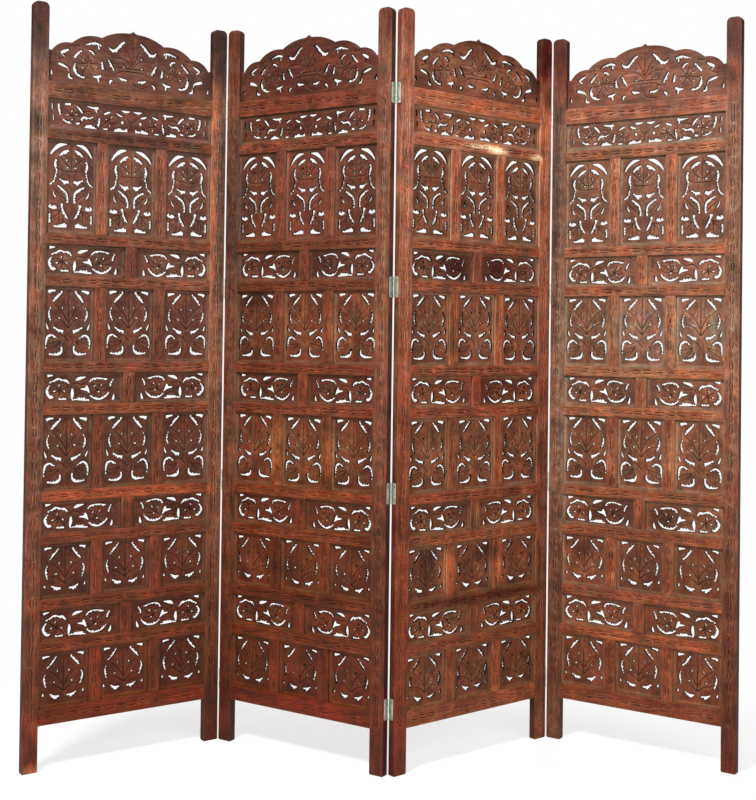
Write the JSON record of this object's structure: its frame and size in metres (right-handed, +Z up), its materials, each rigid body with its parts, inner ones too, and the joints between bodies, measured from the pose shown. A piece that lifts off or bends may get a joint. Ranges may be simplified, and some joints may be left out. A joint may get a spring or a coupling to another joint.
{
  "type": "folding screen",
  "caption": "Free-standing folding room screen of hinged wooden leaves, each a plain grooved frame filled with rows of pierced and carved jali boards under a scalloped crest.",
  "frame": {"origin": "on the floor, at the middle of the screen's own box as it stands in its zigzag", "axes": "+X to the right seen from the front, +Y from the viewer to the back, +Z up"},
  "size_m": [1.714, 0.3846, 1.829],
  "materials": {
    "stile_wood": "stained and worn sheesham, brown",
    "rail_wood": "stained sheesham, orange red",
    "muntin_wood": "stained sheesham, red brown",
    "jali_wood": "carved and pierced sheesham, red brown",
    "hinge_steel": "zinc plated pressed steel",
    "pin_steel": "bright steel wire"
  },
  "bodies": {
    "leaf_1": {"leaf_1_left_stile": "stile_wood", "leaf_1_right_stile": "stile_wood", "leaf_1_bottom_rail": "rail_wood", "leaf_1_rails": "rail_wood", "leaf_1_top_rail": "rail_wood", "leaf_1_muntins": "muntin_wood", "leaf_1_small_jali": "jali_wood", "leaf_1_oblong_jali": "jali_wood", "leaf_1_medium_jali": "jali_wood", "leaf_1_tall_jali": "jali_wood", "leaf_1_frieze_jali": "jali_wood", "leaf_1_crest_jali": "jali_wood", "joint_12_leaf_1_plates": "hinge_steel", "joint_12_pins": "pin_steel"},
    "leaf_2": {"leaf_2_left_stile": "stile_wood", "leaf_2_right_stile": "stile_wood", "leaf_2_bottom_rail": "rail_wood", "leaf_2_rails": "rail_wood", "leaf_2_top_rail": "rail_wood", "leaf_2_muntins": "muntin_wood", "leaf_2_small_jali": "jali_wood", "leaf_2_oblong_jali": "jali_wood", "leaf_2_medium_jali": "jali_wood", "leaf_2_tall_jali": "jali_wood", "leaf_2_frieze_jali": "jali_wood", "leaf_2_crest_jali": "jali_wood", "joint_12_leaf_2_plates": "hinge_steel", "joint_23_leaf_2_plates": "hinge_steel"},
    "leaf_3": {"leaf_3_left_stile": "stile_wood", "leaf_3_right_stile": "stile_wood", "leaf_3_bottom_rail": "rail_wood", "leaf_3_rails": "rail_wood", "leaf_3_top_rail": "rail_wood", "leaf_3_muntins": "muntin_wood", "leaf_3_small_jali": "jali_wood", "leaf_3_oblong_jali": "jali_wood", "leaf_3_medium_jali": "jali_wood", "leaf_3_tall_jali": "jali_wood", "leaf_3_frieze_jali": "jali_wood", "leaf_3_crest_jali": "jali_wood", "joint_23_leaf_3_plates": "hinge_steel", "joint_23_pins": "pin_steel", "joint_34_leaf_3_plates": "hinge_steel", "joint_34_pins": "pin_steel"},
    "leaf_4": {"leaf_4_left_stile": "stile_wood", "leaf_4_right_stile": "stile_wood", "leaf_4_bottom_rail": "rail_wood", "leaf_4_rails": "rail_wood", "leaf_4_top_rail": "rail_wood", "leaf_4_muntins": "muntin_wood", "leaf_4_small_jali": "jali_wood", "leaf_4_oblong_jali": "jali_wood", "leaf_4_medium_jali": "jali_wood", "leaf_4_tall_jali": "jali_wood", "leaf_4_frieze_jali": "jali_wood", "leaf_4_crest_jali": "jali_wood", "joint_34_leaf_4_plates": "hinge_steel"}
  },
  "joints": [
    {"name": "joint_12", "type": "hinge", "parent": "leaf_2", "child": "leaf_1", "pos_m": [-0.43396, 0.10726, 0.9], "axis": [0, 0, 1], "range_deg": [-68, 112]},
    {"name": "joint_23", "type": "hinge", "parent": "leaf_2", "child": "leaf_3", "pos_m": [0.0128, -0.1407, 0.9], "axis": [0, 0, 1], "range_deg": [-72.5, 107.5]},
    {"name": "joint_34", "type": "hinge", "parent": "leaf_3", "child": "leaf_4", "pos_m": [0.41472, 0.17479, 0.9], "axis": [0, 0, 1], "range_deg": [-107, 73]}
  ]
}
